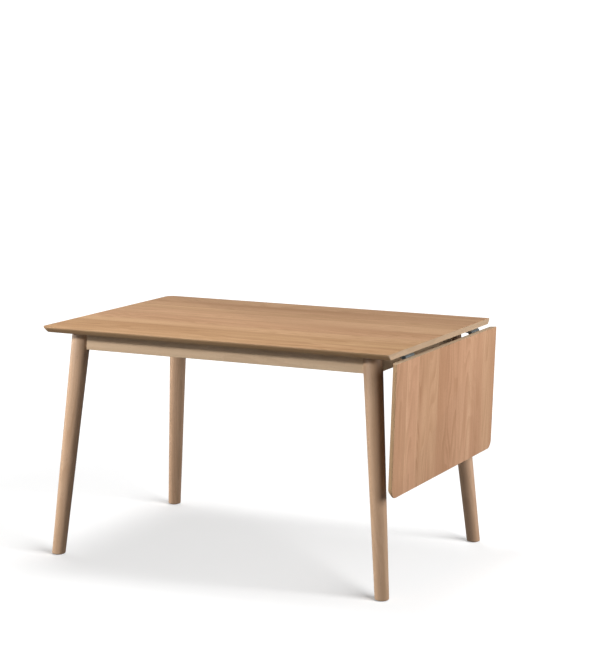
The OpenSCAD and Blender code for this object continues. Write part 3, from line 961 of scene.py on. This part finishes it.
@dataclass(frozen=True)
class Softbox:
    """A square studio light that looks at the table.

    azimuth is its direction from +X towards +Y and elevation its height, both in degrees.
    """

    name: str
    azimuth: float
    elevation: float
    distance: float
    size: float
    power: float
    aim: tuple[float, float, float] = (0.0, 0.0, 0.45)
    reach: Reach = Reach.TABLE

    def group(self, use: str, things: Sequence[bpy.types.Object],
              state: str) -> bpy.types.Collection:
        """Lists objects for the light to reach, to miss or to be shaded by.

        Args:
            use: what the list is for.
            things: the objects.
            state: INCLUDE or EXCLUDE.

        Returns:
            The list.
        """
        group = bpy.data.collections.new(f"{self.name}_{use}")
        for thing in things:
            group.objects.link(thing)
        for entry in group.collection_objects:
            entry.light_linking.link_state = state
        return group

    def build(self, floor: bpy.types.Object, legs: Sequence[bpy.types.Object],
              leaf_back: bpy.types.Object) -> None:
        """Adds the light.

        Args:
            floor: the floor.
            legs: the table's legs, the back right one last.
            leaf_back: the leaf's core, which shows its back.
        """
        light = bpy.data.lights.new(self.name, "AREA")
        light.shape = "SQUARE"
        light.size = self.size
        light.energy = self.power
        lamp = bpy.data.objects.new(self.name, light)
        around, up = math.radians(self.azimuth), math.radians(self.elevation)
        outward = Vector((math.cos(up) * math.cos(around), math.cos(up) * math.sin(around),
                          math.sin(up)))
        turn = (-outward).to_track_quat("-Z", "Y").to_matrix().to_4x4()
        place = Vector(self.aim) + outward * self.distance
        lamp.matrix_world = Matrix.Translation(place) @ turn
        linking = lamp.light_linking
        things, state = {
            Reach.TABLE: ([floor], "EXCLUDE"),
            Reach.FLAGGED: ([floor, legs[-1], leaf_back], "EXCLUDE"),
            Reach.LEGS: (legs[:-1], "INCLUDE"),
            Reach.GROUND: ([floor], "INCLUDE"),
            Reach.FEET: ([floor], "INCLUDE"),
        }[self.reach]
        linking.receiver_collection = self.group("reach", things, state)
        if self.reach is Reach.FEET:
            linking.blocker_collection = self.group("shade", legs, "INCLUDE")
        bpy.context.scene.collection.objects.link(lamp)


LIGHTS = (
    Softbox("left", azimuth=172.0, elevation=28.0, distance=5.0, size=1.8, power=44.0),
    Softbox("front_left", azimuth=203.0, elevation=18.0, distance=5.0, size=1.2, power=12.0),
    Softbox("front_low", azimuth=235.0, elevation=14.0, distance=5.0, size=1.4, power=42.0),
    Softbox("front_key", azimuth=240.0, elevation=22.7, distance=5.0, size=0.40, power=138.0,
            reach=Reach.FLAGGED),
    Softbox("high", azimuth=240.0, elevation=64.0, distance=3.0, size=1.5, power=46.0),
    Softbox("right_low", azimuth=8.0, elevation=12.5, distance=5.0, size=1.4, power=56.0),
    Softbox("right", azimuth=20.0, elevation=25.0, distance=5.0, size=2.0, power=118.0),
    Softbox("right_front", azimuth=345.0, elevation=20.0, distance=5.0, size=1.8, power=54.0),
    Softbox("rim", azimuth=187.0, elevation=12.0, distance=5.0, size=0.8, power=98.0,
            reach=Reach.LEGS),
    Softbox("floor_high", azimuth=140.0, elevation=78.0, distance=3.6, size=1.4, power=86.0,
            reach=Reach.GROUND),
    Softbox("floor_right", azimuth=345.0, elevation=26.0, distance=7.0, size=5.0, power=690.0,
            aim=(-0.6, 0.15, 0.3), reach=Reach.FEET),
)


@dataclass
class Studio:
    """White room: floor, sky, lights and camera."""

    middle_shift: float
    legs: list[bpy.types.Object]
    camera_place: tuple[float, float, float] = (2.7804, -5.3337, 1.6543)
    camera_yaw: float = math.radians(26.56)
    camera_pitch: float = math.radians(8.82)
    focal_length: float = 104.59
    sensor: float = 36.0
    floor_half: float = 30.0
    floor_near: float = 1.1
    floor_far: float = 2.6
    sky_shown: float = 1.2
    sky_lit: float = 0.02
    sky_mirrored: float = 0.10
    floor_glow: float = 0.29
    floor_white: tuple[float, ...] = (0.98, 0.98, 0.98, 1.0)
    floor_bounce: tuple[float, ...] = (0.12, 0.12, 0.118, 1.0)
    sight: float = 200.0

    def floor(self) -> bpy.types.Object:
        """Lays the pale floor. It gives back less light than it shows, as in a dark studio.

        Returns:
            The floor.
        """
        shape = Shape()
        bmesh.ops.create_grid(shape.bm, x_segments=2, y_segments=2, size=self.floor_half)
        tree, material = ShaderTree.material("studio_floor")
        x, y, _ = tree.axes(tree.place((0.0, 0.0, 0.0), (0.0, 0.0, 0.0)))
        far = ((x * x + y * y) ** 0.5).ramp(self.floor_near, self.floor_far)
        far = (far + self.floor_glow).held()
        seen = tree.add("ShaderNodeLightPath", output="Is Camera Ray")
        near = tree.add("ShaderNodeBsdfDiffuse", None, {"Color": self.floor_white})
        glow = tree.add("ShaderNodeEmission", None, {"Strength": self.sky_shown})
        shown = tree.add("ShaderNodeMixShader", None, {0: far, 1: near, 2: glow})
        bounced = tree.add("ShaderNodeBsdfDiffuse", None, {"Color": self.floor_bounce})
        tree.end(tree.add("ShaderNodeMixShader", None, {0: seen, 1: bounced, 2: shown}))
        floor = shape.finish("studio_floor", material)
        return floor

    def sky(self) -> None:
        """A white surround, which lights the scene less than it shows."""
        world = bpy.data.worlds.new("studio")
        tree = ShaderTree(world)
        seen = tree.add("ShaderNodeLightPath", output="Is Camera Ray")
        mirrored = tree.add("ShaderNodeLightPath", output="Is Glossy Ray")
        shown = tree.add("ShaderNodeBackground", None,
                         {"Color": WHITE, "Strength": self.sky_shown})
        lit = tree.add("ShaderNodeBackground", None, {
            "Color": WHITE, "Strength": mirrored * self.sky_mirrored + self.sky_lit})
        both = tree.add("ShaderNodeMixShader", None, {0: seen, 1: lit, 2: shown})
        tree.end(both, "ShaderNodeOutputWorld")
        bpy.context.scene.world = world

    def camera(self) -> None:
        """Sets the camera."""
        data = bpy.data.cameras.new("camera")
        data.lens = self.focal_length
        data.sensor_width = self.sensor
        data.clip_end = self.sight
        camera = bpy.data.objects.new("camera", data)
        x, y, z = self.camera_place
        camera.location = (x - self.middle_shift, y, z)
        camera.rotation_euler = (math.pi / 2.0 - self.camera_pitch, 0.0, self.camera_yaw)
        bpy.context.scene.collection.objects.link(camera)
        bpy.context.scene.camera = camera

    def build(self) -> None:
        """Sets up the whole studio."""
        floor = self.floor()
        self.sky()
        self.camera()
        for box in LIGHTS:
            box.build(floor, self.legs, frame["nodes"]["leaf_core"])
        bpy.context.scene.view_settings.view_transform = "Standard"


# ---------------------------------------------------------------- putting it together


def make_boards(height: float) -> tuple[Board, Board]:
    """Sets out the two boards from the frame's boxes and the leaf's joint.

    Args:
        height: the underside of the fixed top.

    Returns:
        The fixed top and the leaf.
    """
    _, high, size = span("top_veneer")
    core = span("top_core")[2]
    fold = next(j for j in frame["joints"] if j["name"] == "leaf_fold")
    axis = Vector(fold["pos_m"])
    drop = math.radians(fold["range_deg"][1])
    thickness = high.z - height
    band = span("top_joint_band")[2].x
    hinge_drop = height - axis.z
    leaf_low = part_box("leaf_veneer")[0]
    reach = (axis.z - leaf_low.z) / math.sin(drop)
    log.info("leaf reaches %.4f m from its pin, %.4f m drawn", reach, JOINT_GAP + LEAF_LENGTH)
    common = dict(width=size.y, thickness=thickness, lipping=(size.y - core.y) / 2.0,
                  veneer=size.z, band=band)
    top_place = Matrix.Translation((high.x, 0.0, height)) @ Matrix.Rotation(math.pi, 4, "Z")
    hang = (Matrix.Translation(axis) @ Matrix.Rotation(drop, 4, "Y")
            @ Matrix.Translation((JOINT_GAP, 0.0, hinge_drop)))
    top = Board("top", "table", length=size.x, place=top_place, turn=(0.0, 0.0, math.pi),
                front="back", back="front", seed=3.0, **common)
    leaf = Board("leaf", "leaf", length=LEAF_LENGTH, place=hang, turn=(0.0, drop, 0.0),
                 front="front", back="back", seed=19.0, face_oak=LEAF_OAK, **common)
    return top, leaf


def main() -> None:
    logging.basicConfig(level=logging.INFO, format="%(message)s")
    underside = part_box("leg_front_left")[1].z
    fixed_low, fixed_high, _ = span("top_veneer")
    for board in make_boards(underside):
        board.build()
    legs = Frame(underside).build()
    Hinges().build()
    Studio(-(fixed_low.x + fixed_high.x) / 2.0, legs).build()


if __name__ == "__main__":
    main()
